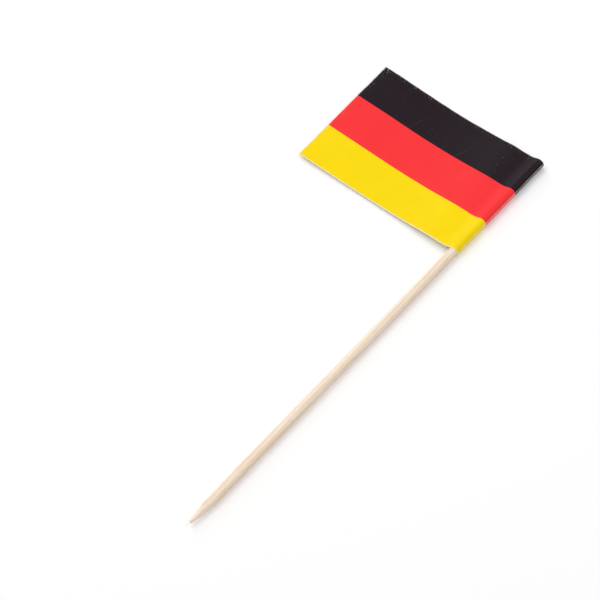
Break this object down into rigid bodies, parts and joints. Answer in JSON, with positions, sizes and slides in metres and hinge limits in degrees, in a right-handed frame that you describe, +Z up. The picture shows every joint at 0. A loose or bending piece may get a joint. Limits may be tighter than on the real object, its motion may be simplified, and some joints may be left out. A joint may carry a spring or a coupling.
{
  "type": "flag toothpick",
  "caption": "Long round wooden pick with one pointed end and a black, red and yellow striped paper flag folded and glued round its blunt end.",
  "frame": {"origin": "middle of the footprint, on the surface that the pick lies on", "axes": "+X along the pick from its point to its flag end, +Y from the pick to the flag's free edge, +Z up"},
  "size_m": [0.1502, 0.0544, 0.003],
  "materials": {
    "birch_wood": "bare, turned smooth, with pale fine fibres along the grain",
    "printed_paper": "thin paper printed in black, red and yellow stripes, slightly glossy ink, white cut edges"
  },
  "bodies": {
    "root": {"wooden_pick": "birch_wood", "paper_flag": "printed_paper"}
  },
  "joints": []
}
